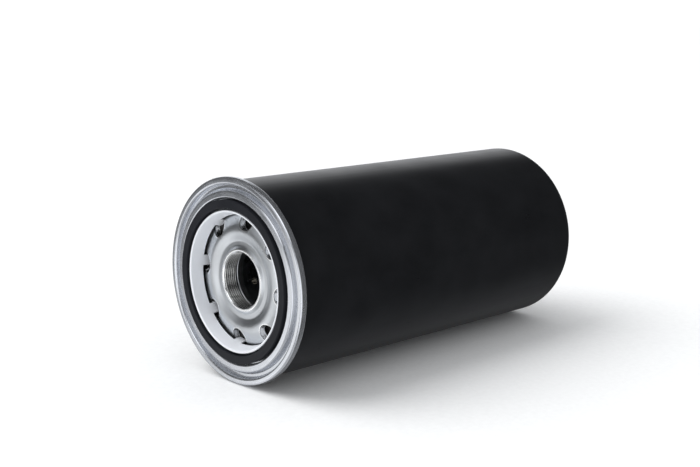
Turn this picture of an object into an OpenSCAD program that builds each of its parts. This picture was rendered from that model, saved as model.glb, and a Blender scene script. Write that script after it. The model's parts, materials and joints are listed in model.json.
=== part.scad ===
// Spin-on oil filter, a heavy engine's full-flow type, lying on its side.
// The origin is on the filter's axis where the thread's full wall begins, at its mouth.
// The axis runs along Y: the thread faces -Y and the closed end faces +Y.

/* [Can] */
// Outside radius of the can's wall
can_r = 65.1; // [65:0.05:65.2]
// Distance from the thread's mouth to the closed end
can_len = 268.6; // [230:0.1:300]
// Thickness of the sheet steel in the can and in the seaming lid
sheet_t = 0.8; // [0.75:0.05:0.8]
// Radius of the closed end's outer corner, at the middle of the sheet
end_corner_r = 6.7; // [4:0.1:8]

/* [Rim and gasket] */
// Outside radius of the rolled rim
rim_r = 68; // [67.95:0.05:68.5]
// Height of the rolled rim's crest over the thread's mouth
rim_top = 8; // [8:0.1:8.4]
// Inside radius of the gasket
gasket_in_r = 48; // [47.8:0.05:48.2]
// Outside radius of the gasket
gasket_out_r = 53.4; // [53.1:0.1:53.7]
// Height of the gasket's sealing face over the thread's mouth
gasket_top = 9.6; // [9:0.1:11]

/* [Thread plate] */
// Major radius of the 1 1/2 inch thread
thread_major_r = 19.05; // [19.05:0.05:19.15]
// Minor radius of the 1 1/2 inch thread, at the crests
thread_minor_r = 18.19; // [18.1:0.01:18.25]
// Pitch of the thread, sixteen to the inch
thread_pitch = 1.5875; // [1.5:0.0125:1.6]
// Length of the threaded collar from its front face to its end
collar_len = 10.4; // [10:0.1:11]
// Number of inlet holes, and of tabs
hole_count = 8; // [6:1:8]
// Radius of an inlet hole
hole_r = 6.3; // [5.8:0.1:6.4]
// Radius of the circle that the inlet holes' centres lie on
hole_circle_r = 40; // [39.9:0.1:40.1]
// Angle of the first inlet hole from +X towards +Z
hole_phase = 38; // [0:1:45]
// Width of an anti-rotation tab
tab_w = 7.2; // [6:0.1:7.2]
// Angle of a tab from the middle of its inlet hole, from +X towards +Z
tab_turn = -2; // [-2:0.1:0]

/* [Filter element] */
// Number of pleats
pleats = 60; // [40:1:60]
// Outside radius of the pleated paper, at the middle of the sheet
media_out_r = 54.8; // [52:0.1:55]
// Inside radius of the pleated paper, at the middle of the sheet
media_in_r = 22.2; // [22.1:0.1:24]
// Thickness of the paper
paper_t = 0.55; // [0.4:0.05:0.6]
// Outside radius of the perforated centre tube
tube_r = 21.2; // [21:0.1:21.3]

/* [Valves] */
// How far the bypass disc opens
bypass_travel = 4; // [2:0.5:5]
// How far the anti-drain flap lifts
flap_travel = 2.5; // [1.5:0.1:2.8]
// Radius of the hole that the bypass disc closes
bypass_hole_r = 10.5; // [9:0.1:11]

/* [Hidden] */
$fn = 96;

// Clearances: between parts that touch, and around parts that slide
fit_gap = 0.05;
slide_gap = 0.15;
// Small overlap that makes a cut run past a face
cut = 1;

// Heights are measured along the axis from the thread's mouth, positive towards
// the engine. The seam and the gasket's groove, at the middle of the sheet:
sheet_half = sheet_t / 2;
seam_gap = 0.1;
seam_top = rim_top - sheet_half;
curl_bottom = 3.2;
flange_top = seam_top - sheet_t - 0.45;
body_hook_end = curl_bottom + 1;
cover_hook_end = flange_top - 0.75;
groove_floor = 3.75;
valley_floor = groove_floor + 0.2;
lip_top = 7.6;
skirt_top = 7.9;
skirt_end = -0.65;
seam_r = rim_r - sheet_half;
can_wall_r = can_r - sheet_half;
chuck_wall_r = can_wall_r - sheet_t - seam_gap;
cover_hook_r = can_wall_r + sheet_t + seam_gap;
body_hook_r = cover_hook_r + sheet_t + seam_gap;
ledge_in_r = gasket_out_r + 1.2;
ledge_out_r = ledge_in_r + 4;
valley_in_r = ledge_out_r + 1.7;
valley_out_r = chuck_wall_r - 0.7;
groove_in_r = gasket_in_r - 1.1;
skirt_top_r = groove_in_r - 1.4;
skirt_end_r = skirt_top_r - 2.1;
skirt_lean = (skirt_top_r - skirt_end_r) / (skirt_top - skirt_end);
compound_t = 0.32;

// The anti-rotation tabs
tab_t = sheet_t - 0.06;
tab_root_h = 0.8;
tab_tip = -5.5;
tab_tip_r = skirt_end_r - skirt_lean * (skirt_end - tab_tip);

// The plate, from its front face to its back
boss_top = 1;
boss_r = 20.4;
boss_ring = -0.5;
crown = 1.8;
trough = -2.4;
plate_land = groove_floor - sheet_half - fit_gap;
plate_back = -0.4;
crown_back = -2.2;
seal_land = -4.2;
trough_back = -6.2;
plate_r = can_r - 1.9;
collar_r = 23.4;
collar_end = boss_top - collar_len;
thread_mouth_r = thread_major_r + 0.1;
thread_chamfer = thread_mouth_r - thread_minor_r;
inner_seal_in_r = collar_r + 0.6;
inner_seal_out_r = 27.2;
inner_seal_top = seal_land - fit_gap;

// The anti-drain flap
flap_top = trough_back - fit_gap;
flap_t = 1.6;
flap_lip_t = 2.1;
flap_out_r = 47.9;
flap_in_r = inner_seal_out_r + slide_gap;

// The element, from the engine's end to the closed end
cap_t = 0.8;
cap_r = 56.5;
cap_skirt = 5;
cap_top = flap_top - flap_lip_t - flap_travel - 0.35;
end_in = sheet_t - can_len;
potting_t = 2.2;
bottom_cap_out = end_in + 19.9;
bottom_cap_in = bottom_cap_out + cap_t;
media_top = cap_top - cap_t - potting_t;
media_bottom = bottom_cap_in + potting_t;
tube_t = 0.6;
tube_in_r = tube_r - tube_t;
tube_hole_r = 2.4;
tube_hole_columns = 8;
tube_hole_rows = 14;
clip_t = 0.4;
clip_depth = 7;
tip_half_w = 0.8;
fold_half_w = 0.58;
roving_r = 0.6;
roving_turns = 5;

// The bypass valve, in the bottom cap's hole
bypass_disc_r = 13;
bypass_seal_t = 1.45;
bypass_seal_in_r = 8;
bypass_disc_t = 1;
cage_t = 0.8;
cage_flange_in_r = 14.2;
cage_roof_r = 16.2;
cage_h = 18 + bypass_travel;
cage_legs = 3;
cage_leg_w = 6;
stem_r = 2;
stem_guide_len = 5;
guide_r = stem_r + 1.2;
seal_bottom = bottom_cap_in + fit_gap;
disc_bottom = seal_bottom + bypass_seal_t + fit_gap;
disc_top = disc_bottom + bypass_disc_t;
cage_roof = bottom_cap_in + cage_h;
stem_top = cage_roof + cage_t + 3.5;
bypass_wire_r = 0.7;
bypass_coil_r = 8.5;
bypass_turns = 6;

// The closed end and the element's spring
end_mid = sheet_half - can_len;
end_recess_r = 32;
end_recess_h = 2;
spring_wire_r = 1.6;
spring_coil_r = 37.4;
spring_turns = 3;
seat_t = 1;
seat_in_r = spring_coil_r - spring_wire_r - 1.2;
seat_lip_h = 4;

// ---------------------------------------------------------------- functions

function flat(p) = [p[0], p[1]];
function unit(v) = v / norm(v);
function on_circle(r, a) = [r * cos(a), r * sin(a)];
function turn(a) = a > 180 ? a - 360 : a < -180 ? a + 360 : a;

// The arc that rounds corner b between a and c; b[2] is its radius, 0 for a sharp corner
function fillet(a, b, c, steps = 6) =
    b[2] == 0 ? [flat(b)] :
    let (
        u = unit(flat(a) - flat(b)),
        v = unit(flat(c) - flat(b)),
        half = acos(u * v) / 2,
        centre = flat(b) + unit(u + v) * b[2] / sin(half),
        from = flat(b) + u * b[2] / tan(half) - centre,
        to = flat(b) + v * b[2] / tan(half) - centre,
        start = atan2(from[1], from[0]),
        sweep = turn(atan2(to[1], to[0]) - start)
    )
    [for (i = [0 : steps]) centre + on_circle(b[2], start + sweep * i / steps)];

// An open path, and a closed outline, with every inner corner rounded
function rounded_path(p) = concat(
    [flat(p[0])],
    [for (i = [1 : len(p) - 2]) each fillet(p[i - 1], p[i], p[i + 1])],
    [flat(p[len(p) - 1])]
);
function rounded_outline(p) = [
    for (i = [0 : len(p) - 1])
        each fillet(p[(i + len(p) - 1) % len(p)], p[i], p[(i + 1) % len(p)])
];

function left_of(a, b) = let (d = unit(b - a)) [-d[1], d[0]];
function shifted(a, b, c, d) =
    let (
        before = left_of(a, b),
        after = left_of(b, c),
        middle = unit(before + after)
    )
    b + middle * d / (middle * after);

// A path, or a closed loop, moved sideways by d
function beside(p, d) = [
    for (i = [0 : len(p) - 1])
        i == 0 ? p[0] + left_of(p[0], p[1]) * d :
        i == len(p) - 1 ? p[i] + left_of(p[i - 1], p[i]) * d :
        shifted(p[i - 1], p[i], p[i + 1], d)
];
function loop_beside(p, d) = [
    for (i = [0 : len(p) - 1])
        shifted(p[(i + len(p) - 1) % len(p)], p[i], p[(i + 1) % len(p)], d)
];
function reversed(p) = [for (i = [len(p) - 1 : -1 : 0]) p[i]];

// One pleat of the paper, as four points of a loop round the axis
function pleat(i) =
    let (
        a = 360 * i / pleats,
        b = a + 180 / pleats,
        tip_r = i == 0 ? media_out_r - clip_t - 2 * fit_gap : media_out_r,
        tip_a = asin(tip_half_w / tip_r),
        fold_a = asin(fold_half_w / media_in_r)
    )
    [
        on_circle(tip_r, a - tip_a),
        on_circle(tip_r, a + tip_a),
        on_circle(media_in_r, b - fold_a),
        on_circle(media_in_r, b + fold_a)
    ];

// ------------------------------------------------------------------ helpers

// Sheet metal turned round the axis: path is the middle of the sheet, t its thickness
module pressed(path, t) {
    middle = rounded_path(path);
    rotate_extrude()
        polygon(concat(beside(middle, t / 2), reversed(beside(middle, -t / 2))));
}

module turned(outline) {
    rotate_extrude()
        polygon(rounded_outline(outline));
}

module ring(in_r, out_r, low, high, corner = 0) {
    turned([
        [in_r, low, corner],
        [out_r, low, corner],
        [out_r, high, corner],
        [in_r, high, corner]
    ]);
}

// A round wire wound from low to high, with its end coils lying flat
module coil(coil_r, wire_r, low, high, turns) {
    sides = 8;
    rings_per_turn = 20;
    flat_turns = 0.75;
    rings = round(turns * rings_per_turn);
    rise = high - low - 2 * wire_r;
    lead = 2 * wire_r * 1.02;
    middle_turns = turns - 2 * flat_turns;
    middle_rise = rise - 2 * flat_turns * lead;
    function height(t) =
        t < flat_turns ? t * lead :
        t > turns - flat_turns ? rise - (turns - t) * lead :
        flat_turns * lead + (t - flat_turns) * middle_rise / middle_turns;
    points = [
        for (i = [0 : rings])
            let (t = i / rings_per_turn, a = 360 * t)
            for (j = [0 : sides - 1])
                let (b = 360 * j / sides, r = coil_r + wire_r * cos(b))
                [r * cos(a), r * sin(a), low + wire_r + height(t) + wire_r * sin(b)]
    ];
    around = [
        for (i = [0 : rings - 1])
            for (j = [0 : sides - 1])
                let (k = (j + 1) % sides)
                [i * sides + j, i * sides + k, (i + 1) * sides + k, (i + 1) * sides + j]
    ];
    first = [for (j = [sides - 1 : -1 : 0]) j];
    last = [for (j = [0 : sides - 1]) rings * sides + j];
    polyhedron(points, concat([first, last], around));
}

// Places a child at each inlet hole
module at_holes() {
    for (i = [0 : hole_count - 1])
        rotate([0, 0, hole_phase + 360 * i / hole_count])
            children();
}

// Turns a part built along its own Z, thread upwards, to lie along Y
module lying() {
    rotate([90, 0, 0])
        children();
}

// -------------------------------------------------------------- outer parts

// Deep-drawn can: flange hooked into the seam, straight wall, recessed closed end
module can_shell() {
    color([0.07, 0.075, 0.085])
        lying()
            pressed([
                [body_hook_r, body_hook_end, 0],
                [body_hook_r, flange_top, 0.8],
                [can_wall_r, flange_top, 0.8],
                [can_wall_r, end_mid, end_corner_r],
                [end_recess_r + 3, end_mid, 1.6],
                [end_recess_r, end_mid + end_recess_h, 1.6],
                [0, end_mid + end_recess_h, 0]
            ], sheet_t);
}

// Zinc-plated lid: rolled rim, gasket groove, and a skirt with tabs in the inlet holes
module seaming_lid() {
    color([0.78, 0.8, 0.82])
        lying() {
            pressed([
                [cover_hook_r, cover_hook_end, 0],
                [cover_hook_r, curl_bottom, 0.7],
                [seam_r, curl_bottom, 1.2],
                [seam_r, seam_top, 1.4],
                [chuck_wall_r, seam_top, 1.2],
                [valley_out_r, valley_floor, 0.9],
                [valley_in_r, valley_floor, 1],
                [ledge_out_r, lip_top, 1.2],
                [ledge_in_r, lip_top, 0.9],
                [ledge_in_r, groove_floor, 0.7],
                [groove_in_r, groove_floor, 0.7],
                [groove_in_r, skirt_top, 0.68],
                [skirt_top_r, skirt_top, 0.68],
                [skirt_end_r, skirt_end, 0]
            ], sheet_t);
            at_holes()
                rotate([0, 0, tab_turn])
                    intersection() {
                        pressed([
                            [skirt_end_r + tab_root_h * skirt_lean, skirt_end + tab_root_h, 0],
                            [tab_tip_r, tab_tip, 0]
                        ], tab_t);
                        translate([0, -tab_w / 2, tab_tip - cut])
                            cube([gasket_in_r, tab_w, skirt_end - tab_tip + 2 * cut]);
                    }
        }
}

// Sealing compound between the can's flange and the lid's rim
module seam_compound() {
    color([0.35, 0.3, 0.25])
        lying()
            ring(can_wall_r + 0.2, body_hook_r - 0.1,
                flange_top + sheet_half + fit_gap, flange_top + sheet_half + fit_gap + compound_t);
}

// Square-cut sealing ring in the lid's groove
module outer_gasket() {
    color([0.06, 0.06, 0.06])
        lying()
            ring(gasket_in_r, gasket_out_r,
                groove_floor + sheet_half + fit_gap, gasket_top, 0.35);
}

// Thick pressed plate with the threaded collar and the inlet holes
module thread_plate() {
    groove_w = 3 * thread_pitch / 8;
    root_w = thread_pitch / 16;
    first_groove = boss_top - thread_chamfer - thread_pitch / 2;
    groove_count = floor((collar_len - 2 * thread_chamfer) / thread_pitch);
    color([0.72, 0.74, 0.74])
        lying()
            difference() {
                turned([
                    [thread_minor_r, boss_top - thread_chamfer, 0],
                    [thread_mouth_r, boss_top, 0],
                    [boss_r, boss_top, 1],
                    [boss_r + 2.2, boss_ring, 2],
                    [26, boss_ring - 0.1, 5],
                    [32.4, crown, 12],
                    [43.8, trough, 3],
                    [groove_in_r, trough, 1],
                    [groove_in_r + 1.9, plate_land, 1.5],
                    [plate_r, plate_land, 0.8],
                    [plate_r, plate_back, 0.8],
                    [50.4, plate_back, 2],
                    [48.4, trough_back, 1.2],
                    [41.2, trough_back, 3],
                    [32, crown_back, 3],
                    [28, seal_land, 2],
                    [collar_r + 0.2, seal_land, 0.4],
                    [collar_r, collar_end, 0.6],
                    [thread_mouth_r, collar_end, 0],
                    [thread_minor_r, collar_end + thread_chamfer, 0]
                ]);
                for (i = [0 : groove_count - 1])
                    translate([0, 0, first_groove - i * thread_pitch])
                        rotate_extrude()
                            polygon([
                                [thread_minor_r - cut, -groove_w],
                                [thread_minor_r, -groove_w],
                                [thread_major_r, -root_w],
                                [thread_major_r, root_w],
                                [thread_minor_r, groove_w],
                                [thread_minor_r - cut, groove_w]
                            ]);
                at_holes()
                    translate([hole_circle_r, 0, trough_back - cut])
                        cylinder(h = plate_land - trough_back + 2 * cut, r = hole_r);
            }
}

// ------------------------------------------------------- seals at the plate

// Rubber ring between the plate and the element's top cap
module inner_seal() {
    color([0.1, 0.1, 0.1])
        lying()
            ring(inner_seal_in_r, inner_seal_out_r, cap_top + fit_gap, inner_seal_top, 0.5);
}

// Rubber flap behind the inlet holes, with a thicker sealing lip
module anti_drain_valve() {
    color([0.42, 0.12, 0.08])
        lying()
            turned([
                [flap_in_r, flap_top, 0.3],
                [flap_out_r, flap_top, 0.3],
                [flap_out_r, flap_top - flap_lip_t, 0.6],
                [flap_out_r - 3, flap_top - flap_lip_t, 0.5],
                [flap_out_r - 5, flap_top - flap_t, 1],
                [flap_in_r, flap_top - flap_t, 0.3]
            ]);
}

// ------------------------------------------------------------------ element

// Pressed cap at the engine's end, with a collar inside the centre tube
module top_end_cap() {
    neck_r = tube_in_r - fit_gap - cap_t / 2;
    color([0.66, 0.68, 0.7])
        lying()
            pressed([
                [neck_r, cap_top - cap_skirt, 0],
                [neck_r, cap_top - cap_t / 2, 0.6],
                [cap_r - cap_t / 2, cap_top - cap_t / 2, 0.8],
                [cap_r - cap_t / 2, cap_top - cap_skirt, 0]
            ], cap_t);
}

// Pressed cap at the closed end, with the bypass valve's hole
module bottom_end_cap() {
    color([0.66, 0.68, 0.7])
        lying()
            difference() {
                pressed([
                    [cap_r - cap_t / 2, bottom_cap_out + cap_skirt, 0],
                    [cap_r - cap_t / 2, bottom_cap_out + cap_t / 2, 0.8],
                    [0, bottom_cap_out + cap_t / 2, 0]
                ], cap_t);
                translate([0, 0, bottom_cap_out - cut])
                    cylinder(h = cap_t + 2 * cut, r = bypass_hole_r);
            }
}

// Adhesive that seals the pleats to a cap
module potting(low) {
    color([0.75, 0.62, 0.36])
        lying()
            ring(tube_r + fit_gap, cap_r - cap_t - fit_gap,
                low + fit_gap / 2, low + potting_t - fit_gap / 2, 0.5);
}

module top_potting() {
    potting(media_top);
}

module bottom_potting() {
    potting(bottom_cap_in);
}

// Filter paper folded into radial pleats
module pleated_media() {
    middle = [for (i = [0 : pleats - 1]) each pleat(i)];
    outside = loop_beside(middle, -paper_t / 2);
    inside = loop_beside(middle, paper_t / 2);
    count = len(middle);
    color([0.85, 0.72, 0.45])
        lying()
            translate([0, 0, media_bottom + fit_gap])
                linear_extrude(media_top - media_bottom - 2 * fit_gap)
                    polygon(
                        concat(outside, inside),
                        [[for (i = [0 : count - 1]) i], [for (i = [0 : count - 1]) count + i]]
                    );
}

// U-shaped steel strip that closes the paper's seam
module media_seam_clip() {
    gap_half = tip_half_w + paper_t / 2 + 2 * fit_gap;
    back_in = media_out_r - clip_t - fit_gap + paper_t / 2;
    color([0.7, 0.72, 0.74])
        lying()
            translate([0, 0, media_bottom + fit_gap])
                linear_extrude(media_top - media_bottom - 2 * fit_gap)
                    difference() {
                        translate([back_in + clip_t - clip_depth, -gap_half - clip_t])
                            square([clip_depth, 2 * (gap_half + clip_t)]);
                        translate([back_in - clip_depth, -gap_half])
                            square([clip_depth, 2 * gap_half]);
                    }
}

// Strand wound round the pleats, which holds their spacing
module media_roving() {
    sides = 6;
    rings_per_turn = 30;
    rings = roving_turns * rings_per_turn;
    inside_r = media_out_r + paper_t / 2 + fit_gap;
    wind_r = (inside_r + roving_r) / cos(180 / rings_per_turn);
    margin = cap_skirt + 2;
    start = media_bottom + margin;
    rise = media_top - media_bottom - 2 * margin;
    points = [
        for (i = [0 : rings], j = [0 : sides - 1])
            let (
                a = 360 * i / rings_per_turn,
                b = 360 * j / sides,
                r = wind_r + roving_r * cos(b)
            )
            [r * cos(a), r * sin(a), start + rise * i / rings + roving_r * sin(b)]
    ];
    around = [
        for (i = [0 : rings - 1], j = [0 : sides - 1])
            let (k = (j + 1) % sides)
            [i * sides + j, i * sides + k, (i + 1) * sides + k, (i + 1) * sides + j]
    ];
    first = [for (j = [sides - 1 : -1 : 0]) j];
    last = [for (j = [0 : sides - 1]) rings * sides + j];
    color([0.9, 0.88, 0.8])
        lying()
            polyhedron(points, concat([first, last], around));
}

// Perforated steel tube inside the pleats
module centre_tube() {
    low = bottom_cap_in + fit_gap;
    high = cap_top - cap_t - 3 * fit_gap;
    step = (high - low - 2 * cap_skirt) / tube_hole_rows;
    color([0.55, 0.57, 0.6])
        lying()
            difference() {
                translate([0, 0, low])
                    cylinder(h = high - low, r = tube_r);
                translate([0, 0, low - cut])
                    cylinder(h = high - low + 2 * cut, r = tube_in_r);
                for (row = [0 : tube_hole_rows - 1], column = [0 : tube_hole_columns / 2 - 1])
                    translate([0, 0, low + cap_skirt + (row + 0.5) * step])
                        rotate([0, 90, (column + (row % 2) / 2) * 360 / tube_hole_columns])
                            cylinder(h = 2 * tube_r + 2 * cut, r = tube_hole_r, center = true);
            }
}

// ------------------------------------------------------------- bypass valve

// Cage fixed to the bottom cap: a flange, three legs and a roof that guides the stem
module bypass_cage() {
    color([0.6, 0.62, 0.64])
        lying()
            difference() {
                union() {
                    ring(cage_flange_in_r, tube_in_r - fit_gap,
                        bottom_cap_in + fit_gap / 2, bottom_cap_in + cage_t);
                    translate([0, 0, cage_roof])
                        cylinder(h = cage_t, r = cage_roof_r);
                    translate([0, 0, cage_roof - stem_guide_len + cage_t])
                        cylinder(h = stem_guide_len, r = guide_r);
                    intersection() {
                        ring(cage_roof_r - 1, cage_roof_r,
                            bottom_cap_in + cage_t / 2, cage_roof + cage_t / 2);
                        for (i = [0 : cage_legs - 1])
                            rotate([0, 0, 360 * i / cage_legs])
                                translate([0, -cage_leg_w / 2, bottom_cap_in])
                                    cube([cage_roof_r + cut, cage_leg_w, cage_h + cut]);
                    }
                }
                translate([0, 0, cage_roof - stem_guide_len])
                    cylinder(h = stem_guide_len + 2 * cut, r = stem_r + fit_gap);
            }
}

// Steel disc with a hub that holds the seal and a stem that slides in the cage
module bypass_disc() {
    color([0.68, 0.7, 0.72])
        lying() {
            translate([0, 0, disc_bottom])
                cylinder(h = bypass_disc_t, r = bypass_disc_r);
            translate([0, 0, disc_bottom - bypass_seal_t])
                cylinder(h = bypass_seal_t + cut / 2, r = bypass_seal_in_r - fit_gap);
            translate([0, 0, disc_bottom])
                cylinder(h = stem_top - disc_bottom, r = stem_r);
        }
}

// Rubber washer that closes the bottom cap's hole
module bypass_seal() {
    color([0.08, 0.08, 0.08])
        lying()
            ring(bypass_seal_in_r, bypass_disc_r, seal_bottom, seal_bottom + bypass_seal_t, 0.3);
}

// Coil spring between the disc and the cage's roof
module bypass_spring() {
    color([0.75, 0.76, 0.78])
        lying()
            coil(bypass_coil_r, bypass_wire_r, disc_top + fit_gap, cage_roof - fit_gap, bypass_turns);
}

// --------------------------------------------------- support at the closed end

// Pressed ring between the element's spring and the bottom cap
module spring_seat() {
    color([0.64, 0.66, 0.68])
        lying()
            pressed([
                [seat_in_r, bottom_cap_out - fit_gap - seat_lip_h, 0],
                [seat_in_r, bottom_cap_out - fit_gap - seat_t / 2, 0.8],
                [spring_coil_r + spring_wire_r + 3, bottom_cap_out - fit_gap - seat_t / 2, 0]
            ], seat_t);
}

// Coil spring that presses the element against the plate
module element_spring() {
    color([0.5, 0.52, 0.55])
        lying()
            coil(spring_coil_r, spring_wire_r, end_in + fit_gap,
                bottom_cap_out - seat_t - 2 * fit_gap, spring_turns);
}

can_shell();
seaming_lid();
seam_compound();
thread_plate();
outer_gasket();
inner_seal();
anti_drain_valve();
top_end_cap();
top_potting();
pleated_media();
media_seam_clip();
media_roving();
centre_tube();
bottom_potting();
bottom_end_cap();
bypass_cage();
bypass_spring();
bypass_disc();
bypass_seal();
spring_seat();
element_spring();
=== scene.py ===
"""Looks for a spin-on oil filter that lies on its side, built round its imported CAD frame.

The filter's axis runs along Y: the mounting thread faces -Y and the closed end faces +Y.
Profiles are written as (radius, height) in millimetres, where height is measured along the
axis from the thread's mouth towards the engine, so a height h lies at y = -h.
"""
import json
import math

import bmesh
import bpy
import numpy as np
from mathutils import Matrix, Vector


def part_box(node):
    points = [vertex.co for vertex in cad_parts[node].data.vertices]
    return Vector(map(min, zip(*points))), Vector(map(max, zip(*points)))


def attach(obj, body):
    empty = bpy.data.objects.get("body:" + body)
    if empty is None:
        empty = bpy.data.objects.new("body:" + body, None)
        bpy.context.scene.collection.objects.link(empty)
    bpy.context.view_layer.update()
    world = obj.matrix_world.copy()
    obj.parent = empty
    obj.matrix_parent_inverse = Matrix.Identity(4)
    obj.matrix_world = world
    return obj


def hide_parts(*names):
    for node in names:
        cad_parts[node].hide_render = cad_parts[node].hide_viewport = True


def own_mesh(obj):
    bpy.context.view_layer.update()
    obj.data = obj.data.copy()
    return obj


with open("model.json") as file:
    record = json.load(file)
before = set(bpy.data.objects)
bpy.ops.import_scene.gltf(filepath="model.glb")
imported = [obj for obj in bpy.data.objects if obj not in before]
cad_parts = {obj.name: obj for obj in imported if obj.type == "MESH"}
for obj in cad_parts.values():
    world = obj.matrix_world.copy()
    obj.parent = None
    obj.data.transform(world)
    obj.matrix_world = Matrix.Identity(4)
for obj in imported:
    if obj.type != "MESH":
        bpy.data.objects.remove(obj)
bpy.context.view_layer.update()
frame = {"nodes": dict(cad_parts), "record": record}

MM = 0.001
TAU = 2 * math.pi


# ------------------------------------------------------------ sizes from the frame

def reach(node):
    """(outside radius, front height, back height) of a CAD node, in millimetres."""
    low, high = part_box(node)
    return max(high.x, high.z) / MM, -low.y / MM, -high.y / MM


RIM_R, LID_TOP, _ = reach("seaming_lid")
CAN_FLANGE_R, CAN_TOP, CAN_END = reach("can_shell")
GASKET_R, GASKET_TOP, GASKET_BACK = reach("outer_gasket")
PLATE_R, PLATE_LAND, COLLAR_END = reach("thread_plate")
TUBE_R, TUBE_TOP, TUBE_END = reach("centre_tube")
_, MEDIA_TOP, MEDIA_END = reach("pleated_media")
CAP_R, CAP_TOP, CAP_SKIRT_END = reach("top_end_cap")
_, BOTTOM_SKIRT_TOP, BOTTOM_CAP_OUT = reach("bottom_end_cap")
POTTING_R, POTTING_TOP, POTTING_END = reach("top_potting")
_, LOW_POTTING_TOP, LOW_POTTING_END = reach("bottom_potting")
ELEMENT_SPRING_R, SPRING_FRONT, SPRING_BACK = reach("element_spring")
BYPASS_SPRING_R, BYPASS_FRONT, BYPASS_BACK = reach("bypass_spring")
ROVING_R, ROVING_TOP, ROVING_END = reach("media_roving")
FLAP_R, FLAP_TOP, FLAP_END = reach("anti_drain_valve")
SEAL_R, SEAL_TOP, SEAL_END = reach("inner_seal")

RECORD = frame["record"]
THREAD_MINOR_R = {m["name"]: m for m in RECORD["mounts"]}["thread"]["dims"]["r_mm"]
THREAD_MAJOR_R = 19.05
THREAD_PITCH = 25.4 / 16
MOUTH_R = THREAD_MAJOR_R + 0.1
BOSS_TOP = 1.0

SHEET_T = 0.8
CAN_R = 65.1
SEAM_GAP = 0.1
SEAM_TOP = 7.6
CURL_BOTTOM = 3.2
COVER_HOOK_END = 5.6
BODY_HOOK_END = 4.2
LEDGE_TOP = 7.6
GROOVE_FLOOR = 3.75
VALLEY_FLOOR = 3.95
GASKET_IN_R = 48.0
GROOVE_IN_R = GASKET_IN_R - 1.1
SKIRT_END = -0.65
SKIRT_END_R = GROOVE_IN_R - 3.5
TAB_TIP = -5.5

HOLES = 8
HOLE_R = 6.3
HOLE_CIRCLE_R = 40.0
HOLE_PHASE = math.radians(38)
TAB_W = 7.2
TAB_TURN = math.radians(-2)

PLEATS = 60
PAPER_T = 0.55
PLEAT_OUT_R = 54.8
PLEAT_IN_R = 22.2
TUBE_T = 0.6
FIT_GAP = 0.05


# ------------------------------------------------------------------------ profiles

def rounded(corners, step=0.35):
    """An open path whose inner corners (r, h, radius) are arcs, as an array of points."""
    points = [corners[0][:2]]
    for before, corner, after in zip(corners, corners[1:], corners[2:]):
        b, radius = np.array(corner[:2], float), corner[2]
        if radius == 0:
            points.append(tuple(b))
            continue
        u = np.array(before[:2], float) - b
        v = np.array(after[:2], float) - b
        u, v = u / np.linalg.norm(u), v / np.linalg.norm(v)
        half = math.acos(float(np.clip(u @ v, -1, 1))) / 2
        centre = b + (u + v) / np.linalg.norm(u + v) * radius / math.sin(half)
        start = b + u * radius / math.tan(half) - centre
        end = b + v * radius / math.tan(half) - centre
        a = math.atan2(start[1], start[0])
        sweep = math.remainder(math.atan2(end[1], end[0]) - a, TAU)
        steps = max(6, math.ceil(abs(sweep) * radius / step))
        for i in range(steps + 1):
            t = a + sweep * i / steps
            points.append((centre[0] + radius * math.cos(t), centre[1] + radius * math.sin(t)))
    points.append(corners[-1][:2])
    return np.array(points, float)


def beside(path, distance):
    """The path moved sideways, to its left for a positive distance."""
    d = np.diff(path, axis=0)
    d /= np.linalg.norm(d, axis=1)[:, None]
    n = np.stack([-d[:, 1], d[:, 0]], 1)
    before = np.vstack([n[:1], n])
    after = np.vstack([n, n[-1:]])
    middle = before + after
    middle /= np.linalg.norm(middle, axis=1)[:, None]
    return path + middle * distance / (middle * after).sum(1)[:, None]


def sheet_section(path, thickness, edge=0.15):
    """The closed outline of a sheet whose middle is path. An edge on the axis stays square."""
    left = list(map(tuple, beside(path, thickness / 2)))
    right = list(map(tuple, beside(path, -thickness / 2)))

    def eased(a, b, inner_a, inner_b):
        """Two corner points of a sheet's end, each cut into two."""
        a, b = np.array(a), np.array(b)
        inner_a, inner_b = np.array(inner_a), np.array(inner_b)
        across = (b - a) / np.linalg.norm(b - a)
        back_a = (inner_a - a) / np.linalg.norm(inner_a - a)
        back_b = (inner_b - b) / np.linalg.norm(inner_b - b)
        return [a + back_a * edge, a + across * edge, b - across * edge, b + back_b * edge]

    section = []
    if path[0][0] > edge:
        section += eased(right[0], left[0], right[1], left[1])
    else:
        section += [right[0], left[0]]
    section += left[1:-1]
    if path[-1][0] > edge:
        section += eased(left[-1], right[-1], left[-2], right[-2])
    else:
        section += [left[-1], right[-1]]
    section += right[-2:0:-1]
    return [tuple(p) for p in section]


def outline(corners, step=0.3):
    """A closed outline with every corner (r, h, radius) rounded."""
    n = len(corners)
    points = []
    for i in range(n):
        three = [corners[i - 1], corners[i], corners[(i + 1) % n]]
        points += [tuple(p) for p in rounded(three, step)[1:-1]]
    return points


def ring_outline(in_r, out_r, low, high, corner):
    return outline([(in_r, low, corner), (out_r, low, corner), (out_r, high, corner), (in_r, high, corner)])


# -------------------------------------------------------------------------- meshes

def place(r, angle, h):
    """A point of the row frame, in metres, from cylinder coordinates in millimetres."""
    return (r * math.cos(angle) * MM, -h * MM, r * math.sin(angle) * MM)


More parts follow.
